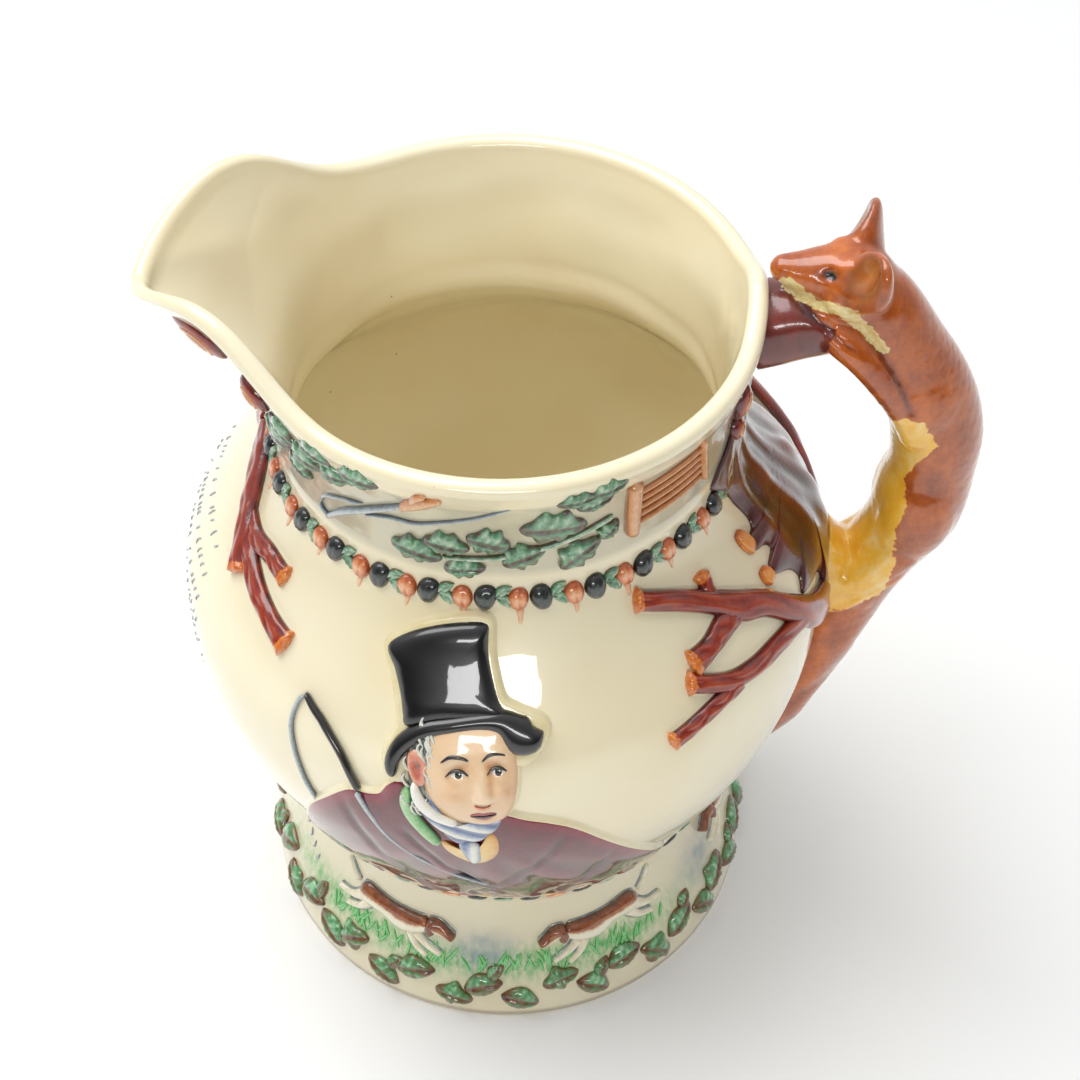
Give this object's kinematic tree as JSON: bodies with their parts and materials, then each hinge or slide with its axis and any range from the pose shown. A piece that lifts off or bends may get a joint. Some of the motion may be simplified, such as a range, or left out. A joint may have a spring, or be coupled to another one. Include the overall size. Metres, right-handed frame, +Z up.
{
  "type": "porcelain jug with music box",
  "caption": "Glazed pottery jug with a fox handle, pulled spout, moulded rider and foliage reliefs, and a hollow foot holding a musical movement with a winding key.",
  "frame": {"origin": "on the table under the middle of the whole length from spout tip to fox back and of the depth with the bust; the jug's turning axis is 14.4 mm from it towards the spout and 2.1 mm from it away from the bust", "axes": "+Z up, spout towards -X, fox handle towards +X, rider's bust facing -Y"},
  "size_m": [0.1755, 0.1479, 0.2035],
  "materials": {
    "glazed_earthenware": "clear glossy glaze over cream earthenware, relief painted under the glaze",
    "movement_case": "pressed tinplate case, dull nickel",
    "brass_key": "stamped brass, handled"
  },
  "bodies": {
    "jug": {"jug": "glazed_earthenware", "music_movement": "movement_case"},
    "key": {"winding_key": "brass_key"}
  },
  "joints": [
    {"name": "key_turn", "type": "hinge", "parent": "jug", "child": "key", "pos_m": [-0.01443, 0.0021, 0.016], "axis": [0, 0, 1], "continuous": true}
  ]
}
